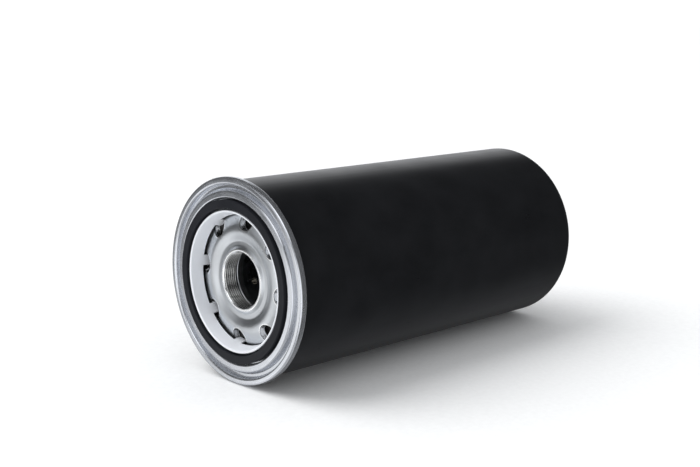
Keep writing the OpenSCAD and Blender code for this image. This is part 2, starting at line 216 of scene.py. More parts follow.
def piece(name, vertices, faces, slot, body="filter", replaced=None, sharp=math.radians(35)):
    """Makes a shaded mesh piece that rides on a body and stands for a CAD node."""
    mesh = bpy.data.meshes.new(name)
    mesh.from_pydata(vertices, [], faces)
    work = bmesh.new()
    work.from_mesh(mesh)
    bmesh.ops.remove_doubles(work, verts=work.verts, dist=1e-7)
    bmesh.ops.recalc_face_normals(work, faces=work.faces)
    for face in work.faces:
        face.smooth = True
    for edge in work.edges:
        edge.smooth = len(edge.link_faces) == 2 and edge.calc_face_angle(0) < sharp
    work.to_mesh(mesh)
    work.free()
    made = bpy.data.objects.new(name, mesh)
    bpy.context.scene.collection.objects.link(made)
    made.data.materials.append(MATERIALS[slot])
    weighted = made.modifiers.new("even_shading", "WEIGHTED_NORMAL")
    weighted.keep_sharp = True
    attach(made, body)
    if replaced:
        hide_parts(replaced)
    return made


def revolved(section, angles):
    """Vertices and faces of a closed section turned round the axis through the given angles."""
    vertices, faces, rings = [], [], []
    for r, h in section:
        if r < 1e-6:
            rings.append([len(vertices)] * len(angles))
            vertices.append(place(0, 0, h))
        else:
            rings.append([len(vertices) + j for j in range(len(angles))])
            vertices += [place(r, a, h) for a in angles]
    columns = len(angles)
    for i, ring in enumerate(rings):
        other = rings[(i + 1) % len(rings)]
        for j in range(columns):
            k = (j + 1) % columns
            corners = list(dict.fromkeys([ring[j], ring[k], other[k], other[j]]))
            if len(corners) > 2:
                faces.append(corners)
    return vertices, faces


def even_angles(count):
    return [TAU * j / count for j in range(count)]


def lathe(name, section, slot, segments=192, **options):
    vertices, faces = revolved(section, even_angles(segments))
    return piece(name, vertices, faces, slot, **options)


def sweep(name, path, radius, sides, slot, **options):
    """A round wire along a path of points in metres, with closed ends."""
    path = np.array(path)
    ahead = np.gradient(path, axis=0)
    ahead /= np.linalg.norm(ahead, axis=1)[:, None]
    out = path * [1, 0, 1]
    out /= np.linalg.norm(out, axis=1)[:, None]
    out -= ahead * (out * ahead).sum(1)[:, None]
    out /= np.linalg.norm(out, axis=1)[:, None]
    side = np.cross(ahead, out)
    vertices, faces = [], []
    for p, u, v in zip(path, out, side):
        for j in range(sides):
            a = TAU * j / sides
            vertices.append(tuple(p + (u * math.cos(a) + v * math.sin(a)) * radius))
    for i in range(len(path) - 1):
        for j in range(sides):
            k = (j + 1) % sides
            faces.append([i * sides + j, i * sides + k, (i + 1) * sides + k, (i + 1) * sides + j])
    last = (len(path) - 1) * sides
    faces.append([j for j in range(sides)][::-1])
    faces.append([last + j for j in range(sides)])
    return piece(name, vertices, faces, slot, **options)


# ----------------------------------------------------------------------- materials

class Nodes:
    """A short way to write a node tree."""

    def __init__(self, name):
        self.material = bpy.data.materials.new(name)
        self.material.use_nodes = True
        self.tree = self.material.node_tree
        self.tree.nodes.clear()
        output = self.tree.nodes.new("ShaderNodeOutputMaterial")
        self.shader = self.tree.nodes.new("ShaderNodeBsdfPrincipled")
        self.tree.links.new(self.shader.outputs[0], output.inputs["Surface"])

    def put(self, socket, value):
        if isinstance(value, bpy.types.NodeSocket):
            self.tree.links.new(value, socket)
        elif value is not None:
            socket.default_value = value

    def math(self, operation, a, b=None):
        node = self.tree.nodes.new("ShaderNodeMath")
        node.operation = operation
        self.put(node.inputs[0], a)
        self.put(node.inputs[1], b)
        return node.outputs[0]

    def position(self):
        """Object coordinates, which are the row frame's."""
        return self.tree.nodes.new("ShaderNodeTexCoord").outputs["Object"]

    def split(self, vector):
        node = self.tree.nodes.new("ShaderNodeSeparateXYZ")
        self.put(node.inputs[0], vector)
        return node.outputs

    def join(self, x, y, z):
        node = self.tree.nodes.new("ShaderNodeCombineXYZ")
        for socket, value in zip(node.inputs, (x, y, z)):
            self.put(socket, value)
        return node.outputs[0]

    def around(self):
        """(radius, cosine, sine, y): where a point is round the filter's axis."""
        x, y, z = self.split(self.position())
        radius = self.math("SQRT", self.math("ADD", self.math("MULTIPLY", x, x), self.math("MULTIPLY", z, z)))
        safe = self.math("MAXIMUM", radius, 1e-5)
        return radius, self.math("DIVIDE", x, safe), self.math("DIVIDE", z, safe), y

    def noise(self, vector, scale, detail=3.0, w=None):
        node = self.tree.nodes.new("ShaderNodeTexNoise")
        if w is not None:
            node.noise_dimensions = "4D"
            self.put(node.inputs["W"], w)
        self.put(node.inputs["Vector"], vector)
        node.inputs["Scale"].default_value = scale
        node.inputs["Detail"].default_value = detail
        node.inputs["Roughness"].default_value = 0.55
        return node.outputs["Fac"]

    def ramp(self, value, low, high, to_low, to_high):
        """value from low..high to to_low..to_high, clamped."""
        node = self.tree.nodes.new("ShaderNodeMapRange")
        self.put(node.inputs["Value"], value)
        for name, number in zip(("From Min", "From Max", "To Min", "To Max"), (low, high, to_low, to_high)):
            node.inputs[name].default_value = number
        return node.outputs["Result"]

    def rise(self, distance, low, high):
        """0 up to a distance of low and 1 from high on, in millimetres."""
        return self.ramp(distance, low * MM, high * MM, 0.0, 1.0)

    def fall(self, distance, low, high):
        """1 up to a distance of low and 0 from high on, in millimetres."""
        return self.ramp(distance, low * MM, high * MM, 1.0, 0.0)

    def mix(self, factor, a, b):
        node = self.tree.nodes.new("ShaderNodeMix")
        node.data_type = "RGBA"
        self.put(node.inputs["Factor"], factor)
        for socket, colour in ((node.inputs["A"], a), (node.inputs["B"], b)):
            self.put(socket, (*colour, 1) if isinstance(colour, tuple) else colour)
        return node.outputs["Result"]

    def bump(self, height, strength, distance, normal=None):
        node = self.tree.nodes.new("ShaderNodeBump")
        self.put(node.inputs["Height"], height)
        node.inputs["Strength"].default_value = strength
        node.inputs["Distance"].default_value = distance
        self.put(node.inputs["Normal"], normal)
        return node.outputs[0]

    def set(self, **values):
        for name, value in values.items():
            socket = self.shader.inputs[name.replace("_", " ")]
            self.put(socket, (*value, 1) if isinstance(value, tuple) else value)
        return self.material


def turned_sheet(n, dark, light, roughness, lines):
    """(colour, roughness, normal) of sheet metal with fine lines drawn round the axis."""
    radius, cosine, sine, y = n.around()
    ring = n.join(n.math("MULTIPLY", radius, lines), n.math("MULTIPLY", y, lines), n.math("MULTIPLY", cosine, 0.9))
    fine = n.noise(ring, 1.0, detail=4.0, w=n.math("MULTIPLY", sine, 0.9))
    cloud = n.noise(n.position(), 90.0, detail=4.0)
    broad = n.noise(n.position(), 14.0, detail=2.0)
    near = n.ramp(cloud, 0.3, 0.7, roughness - 0.05, roughness + 0.06)
    polish = n.math("ADD", near, n.ramp(broad, 0.3, 0.7, -0.03, 0.03))
    tone = n.math("ADD", n.math("MULTIPLY", fine, 0.45), n.math("MULTIPLY", cloud, 0.55))
    colour = n.mix(n.ramp(tone, 0.3, 0.7, 0.0, 1.0), dark, light)
    return colour, polish, n.bump(fine, 0.25, 1.5e-6, n.bump(cloud, 0.1, 2e-6))


def turned_metal(name, dark, light, roughness, lines=900.0):
    """Bare or tinned sheet metal, or drawn wire."""
    n = Nodes(name)
    colour, polish, normal = turned_sheet(n, dark, light, roughness, lines)
    return n.set(Base_Color=colour, Metallic=1.0, Roughness=polish, Normal=normal)


def zinc_metal(name):
    """The lid's zinc plating: bright on its rings and dull white on its skirt."""
    n = Nodes(name)
    colour, polish, normal = turned_sheet(n, (0.66, 0.68, 0.72), (0.75, 0.77, 0.81), 0.22, 900.0)
    radius = n.around()[0]
    skirt = n.fall(radius, GROOVE_IN_R - 0.7, GROOVE_IN_R - 0.3)
    return n.set(
        Base_Color=n.mix(skirt, colour, (0.86, 0.88, 0.92)),
        Metallic=n.ramp(skirt, 0.0, 1.0, 0.93, 0.3),
        Roughness=n.math("ADD", polish, n.math("MULTIPLY", skirt, 0.2)),
        Normal=normal,
    )


def plate_metal(name):
    """A plated pressing: machined thread, painted highlights on the hole and mouth edges, and painted shade, nearly
    black, on the hole walls and beneath the skirt.
    """
    n = Nodes(name)
    here = n.position()
    radius, cosine, sine, y = n.around()
    cloud = n.noise(here, 70.0, detail=4.0)
    frost = n.noise(here, 1500.0, detail=2.0)
    thread = n.fall(radius, MOUTH_R + 0.05, MOUTH_R + 0.25)
    plated = n.mix(n.ramp(cloud, 0.3, 0.7, 0.0, 1.0), (0.60, 0.625, 0.65), (0.67, 0.695, 0.72))
    # Painted shade: beneath the skirt's edge the plate's colour is made nearly black, where shade falls.
    shade_under_skirt = n.rise(radius, SKIRT_END_R + 0.7, SKIRT_END_R + 1.2)
    sector = TAU / HOLES
    lap = n.math("DIVIDE", n.math("SUBTRACT", n.math("ARCTAN2", sine, cosine), HOLE_PHASE), sector)
    aside = n.math("MULTIPLY", n.math("SUBTRACT", n.math("FRACT", n.math("ADD", lap, 0.5)), 0.5), sector)
    across = n.math("MULTIPLY", radius, n.math("SINE", aside))
    out = n.math("SUBTRACT", n.math("MULTIPLY", radius, n.math("COSINE", aside)), HOLE_CIRCLE_R * MM)
    from_hole = n.math("SQRT", n.math("ADD", n.math("MULTIPLY", across, across), n.math("MULTIPLY", out, out)))
    # Painted shade: the hole walls get the same nearly black colour, which stands for the shade inside the holes.
    painted_shade = n.math("MAXIMUM", shade_under_skirt, n.fall(from_hole, HOLE_R + 0.18, HOLE_R + 0.32))
    # Painted highlight: a lighter, smoother band round each hole's edge and round the mouth's edge stands for the
    # bright rims of light there.
    past_wall = n.rise(from_hole, HOLE_R + 0.3, HOLE_R + 0.5)
    hole_edge = n.math("MULTIPLY", past_wall, n.fall(from_hole, HOLE_R + 0.8, HOLE_R + 1.1))
    mouth_edge = n.math("MULTIPLY", n.fall(radius, MOUTH_R + 1.15, MOUTH_R + 2.05), n.fall(y, -0.3, 0.0))
    painted_edge_highlight = n.math("MAXIMUM", hole_edge, mouth_edge)
    steel = n.mix(painted_edge_highlight, n.mix(thread, plated, (0.58, 0.58, 0.57)), (0.93, 0.94, 0.95))
    polish = n.math("MAXIMUM", thread, painted_edge_highlight)
    return n.set(
        Base_Color=n.mix(painted_shade, steel, (0.045, 0.043, 0.040)),
        Metallic=n.ramp(n.math("SUBTRACT", thread, painted_shade), 0.0, 1.0, 0.97, 1.0),
        Roughness=n.math("SUBTRACT", n.ramp(cloud, 0.3, 0.7, 0.27, 0.31), n.math("MULTIPLY", polish, 0.12)),
        Normal=n.bump(frost, 0.2, 4e-6),
    )


def black_enamel(name):
    """Semi-gloss black enamel with a light orange peel over drawn steel."""
    n = Nodes(name)
    here = n.position()
    _, cosine, sine, y = n.around()
    peel = n.noise(here, 620.0, detail=2.0)
    wave = n.noise(here, 38.0, detail=2.0)
    dust = n.ramp(n.noise(here, 1500.0, detail=1.0), 0.72, 0.8, 0.0, 1.0)
    stretched = n.join(n.math("MULTIPLY", cosine, 34.0), n.math("MULTIPLY", sine, 34.0), n.math("MULTIPLY", y, 6.0))
    draw = n.noise(stretched, 1.0)
    gloss = n.math("ADD", n.math("MULTIPLY", wave, 0.6), n.math("MULTIPLY", draw, 0.4))
    tone = n.mix(n.ramp(wave, 0.3, 0.7, 0.0, 1.0), (0.0062, 0.0066, 0.0078), (0.0100, 0.0105, 0.0122))
    return n.set(
        Base_Color=n.mix(n.math("MULTIPLY", dust, 0.35), tone, (0.05, 0.052, 0.056)),
        Roughness=n.ramp(gloss, 0.3, 0.7, 0.27, 0.36),
        Normal=n.bump(peel, 0.10, 4e-5, n.bump(draw, 0.25, 6e-5)),
        Coat_Weight=0.12,
        Coat_Roughness=0.2,
        Specular_IOR_Level=0.2,
    )


def rubber(name, dark, light, roughness, gloss=0.45):
    """Moulded rubber with a fine grain and a dull bloom."""
    n = Nodes(name)
    here = n.position()
    fine = n.noise(here, 1400.0, detail=3.0)
    bloom = n.noise(here, 60.0, detail=3.0)
    return n.set(
        Base_Color=n.mix(n.ramp(bloom, 0.3, 0.72, 0.0, 1.0), dark, light),
        Roughness=n.ramp(bloom, 0.3, 0.7, roughness - 0.06, roughness + 0.08),
        Normal=n.bump(fine, 0.35, 2.5e-5),
        Specular_IOR_Level=gloss,
    )


def adhesive(name):
    """Cured amber potting with soft pools and small bubbles."""
    n = Nodes(name)
    here = n.position()
    pool = n.noise(here, 160.0, detail=2.0)
    spots = n.ramp(n.noise(here, 900.0, detail=1.0), 0.66, 0.74, 0.0, 1.0)
    return n.set(
        Base_Color=n.mix(n.ramp(pool, 0.3, 0.7, 0.0, 1.0), (0.52, 0.36, 0.14), (0.70, 0.53, 0.25)),
        Roughness=n.ramp(pool, 0.3, 0.7, 0.28, 0.42),
        Normal=n.bump(n.math("SUBTRACT", pool, n.math("MULTIPLY", spots, 0.4)), 0.4, 2e-4),
    )


def filter_paper(name):
    """Resin-treated paper with crossing fibres and cured blotches."""
    n = Nodes(name)
    here = n.position()
    x, y, z = n.split(here)

    def fibres(across, along):
        where = n.join(n.math("MULTIPLY", x, across), n.math("MULTIPLY", y, along), n.math("MULTIPLY", z, across))
        return n.noise(where, 1.0, detail=4.0)

    blotch = n.noise(here, 45.0, detail=3.0)
    fibre = n.math("MAXIMUM", fibres(1800.0, 260.0), fibres(500.0, 2200.0))
    tone = n.math("ADD", n.math("MULTIPLY", fibre, 0.5), n.math("MULTIPLY", blotch, 0.5))
    return n.set(
        Base_Color=n.mix(n.ramp(tone, 0.35, 0.7, 0.0, 1.0), (0.50, 0.46, 0.38), (0.68, 0.64, 0.55)),
        Roughness=n.ramp(fibre, 0.3, 0.7, 0.78, 0.92),
        Normal=n.bump(fibre, 0.6, 5e-5),
    )


def thread_yarn(name):
    """Pale twisted strand."""
    n = Nodes(name)
    twist = n.noise(n.position(), 1600.0, detail=2.0)
    return n.set(
        Base_Color=n.mix(n.ramp(twist, 0.3, 0.7, 0.0, 1.0), (0.72, 0.69, 0.6), (0.9, 0.88, 0.8)),
        Roughness=n.ramp(twist, 0.3, 0.7, 0.7, 0.9),
        Normal=n.bump(twist, 0.6, 8e-5),
    )


MATERIALS = {
    "black_paint": black_enamel("black_enamel"),
    "zinc_plate": zinc_metal("zinc_plated_sheet"),
    "plate_steel": plate_metal("plated_pressing"),
    "sealing_compound": rubber("sealing_compound", (0.11, 0.09, 0.07), (0.19, 0.16, 0.12), 0.7),
    "gasket_rubber": rubber("gasket_rubber", (0.009, 0.010, 0.013), (0.016, 0.017, 0.021), 0.42, gloss=0.16),
    "seal_rubber": rubber("seal_rubber", (0.014, 0.014, 0.015), (0.028, 0.028, 0.030), 0.5),
    "silicone_flap": rubber("drain_flap_rubber", (0.016, 0.015, 0.015), (0.034, 0.031, 0.030), 0.55),
    "cap_steel": turned_metal("tinned_sheet", (0.50, 0.52, 0.54), (0.66, 0.68, 0.70), 0.34),
    "potting_adhesive": adhesive("potting"),
    "filter_paper": filter_paper("filter_paper"),
    "clip_steel": turned_metal("clip_strip", (0.54, 0.56, 0.58), (0.70, 0.72, 0.74), 0.32),
    "roving_thread": thread_yarn("roving"),
    "tube_steel": turned_metal("perforated_sheet", (0.34, 0.36, 0.38), (0.50, 0.52, 0.54), 0.3),
    "cage_steel": turned_metal("cage_pressing", (0.46, 0.48, 0.50), (0.62, 0.64, 0.66), 0.33),
    "spring_wire": turned_metal("spring_wire", (0.40, 0.42, 0.45), (0.58, 0.60, 0.64), 0.24, lines=1500.0),
    "disc_steel": turned_metal("disc_steel", (0.52, 0.54, 0.56), (0.68, 0.70, 0.72), 0.3),
}


# --------------------------------------------------------------------- outer pieces

def make_can():
    """Deep-drawn can with its flange hooked into the seam and a recessed closed end."""
    wall_r = CAN_R - SHEET_T / 2
    hook_r = CAN_FLANGE_R - SHEET_T / 2
    end = CAN_END + SHEET_T / 2
    flange = CAN_TOP - SHEET_T / 2
    path = rounded([
        (hook_r, BODY_HOOK_END, 0),
        (hook_r, flange, 0.8),
        (wall_r, flange, 0.8),
        (wall_r, end, 6.7),
        (35, end, 1.6),
        (32, end + 2, 1.6),
        (0, end + 2, 0),
    ])
    lathe("can", sheet_section(path, SHEET_T), "black_paint", segments=256, replaced="can_shell")


def lid_path():
    """The middle of the lid's sheet, as far as the skirt's end."""
    cover_hook_r = CAN_R + SEAM_GAP + SHEET_T / 2
    chuck_wall_r = CAN_R - SHEET_T - SEAM_GAP - SHEET_T / 2
    seam_r = RIM_R - SHEET_T / 2
    ledge_r = GASKET_R + 1.2
    skirt_top = LID_TOP - SHEET_T / 2
    corners = [
        (cover_hook_r, COVER_HOOK_END, 0),
        (cover_hook_r, CURL_BOTTOM, 0.7),
        (seam_r, CURL_BOTTOM, 1.2),
        (seam_r, SEAM_TOP, 1.4),
        (chuck_wall_r, SEAM_TOP, 1.2),
        (chuck_wall_r - 0.7, VALLEY_FLOOR, 0.9),
        (ledge_r + 5.7, VALLEY_FLOOR, 1.0),
        (ledge_r + 4, LEDGE_TOP, 1.2),
        (ledge_r, LEDGE_TOP, 0.9),
        (ledge_r, GROOVE_FLOOR, 0.7),
        (GROOVE_IN_R, GROOVE_FLOOR, 0.7),
        (GROOVE_IN_R, skirt_top, 0.68),
        (GROOVE_IN_R - 1.4, skirt_top, 0.68),
        (SKIRT_END_R, SKIRT_END, 0),
    ]
    return rounded(corners, 0.25)


def make_lid():
    """The zinc-plated lid. Each column of its mesh ends at the skirt's edge or down a tab."""
    path = lid_path()
    length = np.concatenate([[0], np.cumsum(np.linalg.norm(np.diff(path, axis=0), axis=1))])
    skirt_length = float(length[-1])
    lean = (path[-1] - path[-2]) / np.linalg.norm(path[-1] - path[-2])
    tab_length = float((TAB_TIP - SKIRT_END) / lean[1])
    path = np.vstack([path, path[-1] + lean * tab_length])
    length = np.append(length, skirt_length + tab_length)
    stretch_from = skirt_length - 1.0
    stretch_rows = 10
    fixed = path[length < stretch_from - 0.1]
    tip_round, root_round = 1.1, 0.5
    half = TAB_W / 2

    def tab_reach(across):
        """How far the sheet reaches past the skirt's edge, at a distance from a tab's middle."""
        if across <= half - tip_round:
            return tab_length
        if across <= half:
            inward = across - (half - tip_round)
            return tab_length - tip_round + math.sqrt(max(tip_round ** 2 - inward ** 2, 0))
        if across <= half + root_round:
            outward = root_round - (across - half)
            return root_round - math.sqrt(max(root_round ** 2 - outward ** 2, 0))
        return 0.0

    side_steps = 7
    offsets = [0.0, 1.2, 2.4]
    offsets += [half - tip_round + tip_round * math.sin(i / side_steps * math.pi / 2) for i in range(side_steps)]
    offsets += [half - 0.01, half + 0.01]
    offsets += [half + root_round * (1 - math.cos(i / side_steps * math.pi / 2)) for i in range(1, side_steps + 1)]
    tab_r = SKIRT_END_R - 0.8
    pitch = TAU / HOLES
    start = offsets[-1] / tab_r
    plain_steps = 11
    right = [(o / tab_r, tab_reach(o)) for o in offsets]
    right += [(start + (pitch / 2 - start) * i / plain_steps, 0.0) for i in range(1, plain_steps + 1)]
    columns = []
    for k in range(HOLES):
        middle = HOLE_PHASE + TAB_TURN + pitch * k
        columns += [(middle - a, reach_) for a, reach_ in right[-2:0:-1]]
        columns += [(middle + a, reach_) for a, reach_ in right]

    vertices, faces = [], []
    for angle, past in columns:
        along = np.linspace(stretch_from, skirt_length + past, stretch_rows + 1)
        tail = np.stack([np.interp(along, length, path[:, 0]), np.interp(along, length, path[:, 1])], 1)
        section = sheet_section(np.vstack([fixed, tail]), SHEET_T)
        vertices += [place(r, angle, h) for r, h in section]
    count = len(section)
    for j in range(len(columns)):
        k = (j + 1) % len(columns)
        for i in range(count):
            m = (i + 1) % count
            faces.append([j * count + i, j * count + m, k * count + m, k * count + i])
    piece("seaming_ring", vertices, faces, "zinc_plate", replaced="seaming_lid")


def make_gasket():
    section = ring_outline(GASKET_IN_R, GASKET_R, GASKET_BACK, GASKET_TOP, 0.4)
    lathe("square_cut_gasket", section, "gasket_rubber", segments=256, replaced="outer_gasket")


PLATE_FRONT = [
    (MOUTH_R, BOSS_TOP, 0),
    (20.4, BOSS_TOP, 1),
    (22.6, -0.5, 2),
    (26, -0.6, 5),
    (32.4, 1.8, 12),
    (43.8, -2.4, 3),
    (GROOVE_IN_R, -2.4, 1),
    (GROOVE_IN_R + 1.9, PLATE_LAND, 1.5),
    (PLATE_R, PLATE_LAND, 0.8),
    (PLATE_R, -0.4, 0),
]
PLATE_BACK = [
    (PLATE_R, PLATE_LAND, 0),
    (PLATE_R, -0.4, 0.8),
    (50.4, -0.4, 2),
    (48.4, -6.2, 1.2),
    (41.2, -6.2, 3),
    (32, -2.2, 3),
    (28, -4.2, 2),
    (23.6, -4.2, 0.4),
    (23.4, COLLAR_END, 0.6),
    (MOUTH_R, COLLAR_END, 0),
]


def make_plate():
    """The thread plate: a mesh that flows round each inlet hole, with a helical thread."""
    front = rounded(PLATE_FRONT, 0.25)
    back = rounded(PLATE_BACK, 0.4)
    patch_in_r, patch_out_r = 28.0, 48.0
    front_edge, back_edge = 1.1, 0.3
    rays, patch_rows, edge_rows, wall_rows = 96, 9, 6, 4
    sector = TAU / HOLES
    centre = np.array([HOLE_CIRCLE_R, 0.0])

    def height_on(profile, r):
        order = np.argsort(profile[:, 0], kind="stable")
        return float(np.interp(r, profile[order, 0], profile[order, 1]))

    front_span = front[(front[:, 0] > 20.0) & (front[:, 0] < PLATE_R - 1)]
    back_span = back[(back[:, 0] > 25.0) & (back[:, 0] < PLATE_R - 1)]

    corner_dirs = []
    for r in (patch_out_r, patch_in_r):
        for s in (-1, 1):
            p = np.array([r * math.cos(sector / 2), s * r * math.sin(sector / 2)]) - centre
            corner_dirs.append(math.atan2(p[1], p[0]) % TAU)
    ray_angles = [TAU * i / rays for i in range(rays)]
    for a in corner_dirs:
        nearest = min(range(rays), key=lambda i: abs(math.remainder(ray_angles[i] - a, TAU)))
        ray_angles[nearest] = a

    def hit(a):
        """Where a ray from the hole's centre leaves the sector."""
        d = np.array([math.cos(a), math.sin(a)])
        best = None
        for r in (patch_in_r, patch_out_r):
            b = centre @ d
            disc = b * b - (centre @ centre - r * r)
            if disc >= 0:
                for t in (-b - math.sqrt(disc), -b + math.sqrt(disc)):
                    p = centre + d * t
                    if t > 1e-9 and abs(math.atan2(p[1], p[0])) <= sector / 2 + 1e-9:
                        best = t if best is None else min(best, t)
        for s in (-1, 1):
            n = np.array([-math.sin(s * sector / 2), math.cos(s * sector / 2)])
            across = d @ n
            if abs(across) > 1e-9:
                t = -(centre @ n) / across
                p = centre + d * t
                if t > 1e-9 and patch_in_r - 1e-9 <= np.linalg.norm(p) <= patch_out_r + 1e-9:
                    best = t if best is None else min(best, t)
        return centre + d * best

    edge_points = [hit(a) for a in ray_angles]
    rims = [(np.linalg.norm(p), math.atan2(p[1], p[0])) for p in edge_points]
    inner = sorted({round(t, 9) for r, t in rims if abs(r - patch_in_r) < 1e-6})[:-1]
    outer = sorted({round(t, 9) for r, t in rims if abs(r - patch_out_r) < 1e-6})[:-1]

    vertices, faces = [], []

    def add_grid(rows, closed):
        """Joins rows of points, each as long as the next, with quads."""
        first = len(vertices)
        width = len(rows[0])
        for row in rows:
            vertices.extend(row)
        for i in range(len(rows) - 1):
            for j in range(width if closed else width - 1):
                k = (j + 1) % width
                a, b = first + i * width, first + (i + 1) * width
                faces.append([a + j, a + k, b + k, b + j])

    def on_row(xy, h, turn):
        r, t = math.hypot(*xy), math.atan2(xy[1], xy[0])
        return place(r, t + turn, h)

    for k in range(HOLES):
        turn = HOLE_PHASE + sector * k
        rows = []
        for side, span, edge in ((0, front_span, front_edge), (1, back_span, back_edge)):
            part = []
            for m in range(patch_rows, 0, -1):
                share = (m / patch_rows) ** 1.15
                row = []
                for a, out in zip(ray_angles, edge_points):
                    start = centre + (HOLE_R + edge) * np.array([math.cos(a), math.sin(a)])
                    p = start + (out - start) * share
                    row.append(on_row(p, height_on(span, math.hypot(*p)), turn))
                part.append(row)
            for m in range(edge_rows + 1):
                bend = math.pi / 2 * (1 - m / edge_rows)
                d = HOLE_R + edge - edge * math.cos(math.pi / 2 - bend)
                drop = edge * (1 - math.sin(bend))
                row = []
                for a in ray_angles:
                    p = centre + d * np.array([math.cos(a), math.sin(a)])
                    h = height_on(span, math.hypot(*p))
                    row.append(on_row(p, h - drop if side == 0 else h + drop, turn))
                part.append(row)
            rows.append(part)
        top, bottom = rows
        wall = []
        for m in range(1, wall_rows):
            share = m / wall_rows
            wall.append([
                tuple(np.array(a) + (np.array(b) - np.array(a)) * share)
                for a, b in zip(top[-1], bottom[-1])
            ])
        add_grid(top + wall + bottom[::-1], True)

    def strip(section, angles):
        every = [HOLE_PHASE + sector * k + a for k in range(HOLES) for a in angles]
        add_grid([[place(r(a) if callable(r) else r, a, h) for a in every] for r, h in section], True)

    outside = [(patch_out_r, height_on(front_span, patch_out_r))]
    outside += [tuple(p) for p in front if p[0] > patch_out_r + 0.2][:-1]
    outside += [tuple(p) for p in back[1:] if p[0] > patch_out_r + 0.2]
    outside += [(patch_out_r, height_on(back_span, patch_out_r))]
    strip(outside, outer)

    collar_len = BOSS_TOP - COLLAR_END
    rows_per_pitch = 16
    thread_rows = round(collar_len / THREAD_PITCH * rows_per_pitch)

    def thread_r(h):
        def at(a):
            phase = (h / THREAD_PITCH - a / TAU) % 1.0
            crest = abs(phase - 0.5) * 2
            share = min(max((crest - 0.125) / 0.625, 0.0), 1.0)
            r = THREAD_MAJOR_R - (THREAD_MAJOR_R - THREAD_MINOR_R) * share
            return max(r, MOUTH_R + h - BOSS_TOP, MOUTH_R - (h - COLLAR_END))
        return at

    inside = [(patch_in_r, height_on(front_span, patch_in_r))]
    inside += [tuple(p) for p in front[::-1] if p[0] < patch_in_r - 0.1]
    thread_h = [BOSS_TOP - collar_len * i / thread_rows for i in range(1, thread_rows)]
    inside += [(thread_r(h), h) for h in thread_h]
    inside += [tuple(p) for p in back[::-1] if p[0] < patch_in_r - 0.1]
    inside += [(patch_in_r, height_on(back_span, patch_in_r))]
    strip(inside, inner)
    piece("base_plate", vertices, faces, "plate_steel", replaced="thread_plate", sharp=math.radians(50))


# --------------------------------------------------------------------- inner pieces

def make_seals():
    """The plate's inner seal and the anti-drain flap with its thicker lip."""
    seal = ring_outline(24, SEAL_R, SEAL_END, SEAL_TOP, 0.7)
    lathe("plate_seal", seal, "seal_rubber", replaced="inner_seal")
    flap = outline([
        (27.35, FLAP_TOP, 0.3),
        (FLAP_R, FLAP_TOP, 0.3),
        (FLAP_R, FLAP_END, 0.7),
        (FLAP_R - 3, FLAP_END, 0.6),
        (FLAP_R - 5, FLAP_END + 0.5, 1.2),
        (27.35, FLAP_END + 0.5, 0.4),
    ])
    lathe("drain_flap_ring", flap, "silicone_flap", body="drain_flap", replaced="anti_drain_valve")


def make_caps():
    """The element's two pressed caps and the adhesive in them."""
    t = SHEET_T
    neck_r = TUBE_R - TUBE_T - FIT_GAP - t / 2
    wall_r = CAP_R - t / 2
    top = rounded([
        (neck_r, CAP_SKIRT_END, 0),
        (neck_r, CAP_TOP - t / 2, 0.6),
        (wall_r, CAP_TOP - t / 2, 0.8),
        (wall_r, CAP_SKIRT_END, 0),
    ])
    lathe("engine_end_cap", sheet_section(top, t), "cap_steel", replaced="top_end_cap")
    bottom = rounded([
        (wall_r, BOTTOM_SKIRT_TOP, 0),
        (wall_r, BOTTOM_CAP_OUT + t / 2, 0.8),
        (10.5, BOTTOM_CAP_OUT + t / 2, 0),
    ])
    lathe("closed_end_cap", sheet_section(bottom, t), "cap_steel", replaced="bottom_end_cap")
    in_r = TUBE_R + FIT_GAP
    for name, low, high, node in (
        ("engine_end_adhesive", POTTING_END, POTTING_TOP, "top_potting"),
        ("closed_end_adhesive", LOW_POTTING_END, LOW_POTTING_TOP, "bottom_potting"),
    ):
        lathe(name, ring_outline(in_r, POTTING_R, low, high, 0.5), "potting_adhesive", replaced=node)


def make_paper():
    """Pleated paper with round folds, the first fold lower, under the seam's clip."""
    tip_r, fold_r, bends = 0.8, 0.58, 6
    loop = []
    for i in range(PLEATS):
        out_r = PLEAT_OUT_R - 0.5 if i == 0 else PLEAT_OUT_R
        a = TAU * i / PLEATS
        b = a + math.pi / PLEATS
        for centre, turn, radius, way in ((out_r - tip_r, a, tip_r, 1), (PLEAT_IN_R + fold_r, b, fold_r, -1)):
            for step in range(bends + 1):
                t = math.pi * (step / bends - 0.5)
                x = centre + way * radius * math.cos(t)
                y = radius * math.sin(t)
                loop.append((x * math.cos(turn) - y * math.sin(turn), x * math.sin(turn) + y * math.cos(turn)))
    loop = np.array(loop)
    ahead = np.roll(loop, -1, 0) - loop
    ahead /= np.linalg.norm(ahead, axis=1)[:, None]
    right = np.stack([ahead[:, 1], -ahead[:, 0]], 1)
    middle = right + np.roll(right, 1, 0)
    middle /= np.linalg.norm(middle, axis=1)[:, None]
    across = middle * (PAPER_T / 2) / (middle * right).sum(1)[:, None]
    vertices, faces = [], []
    for side, h in ((1, MEDIA_TOP), (1, MEDIA_END), (-1, MEDIA_END), (-1, MEDIA_TOP)):
        vertices += [(x * MM, -h * MM, z * MM) for x, z in loop + across * side]
    count = len(loop)
    for k in range(4):
        for i in range(count):
            j, m = (i + 1) % count, (k + 1) % 4
            faces.append([k * count + i, k * count + j, m * count + j, m * count + i])
    piece("pleated_paper", vertices, faces, "filter_paper", replaced="pleated_media")


def coil_path(coil_r, wire_r, low, high, turns, per_turn=48):
    """The middle of a wire wound from low to high, with its end coils lying flat."""
    flat_turns, lead = 0.75, 2.04 * wire_r
    rise = high - low - 2 * wire_r
    middle_rise = (rise - 2 * flat_turns * lead) / (turns - 2 * flat_turns)
    path = []
    for i in range(turns * per_turn + 1):
        t = i / per_turn
        if t < flat_turns:
            up = t * lead
        elif t > turns - flat_turns:
            up = rise - (turns - t) * lead
        else:
            up = flat_turns * lead + (t - flat_turns) * middle_rise
        path.append(place(coil_r, TAU * t, low + wire_r + up))
    return path


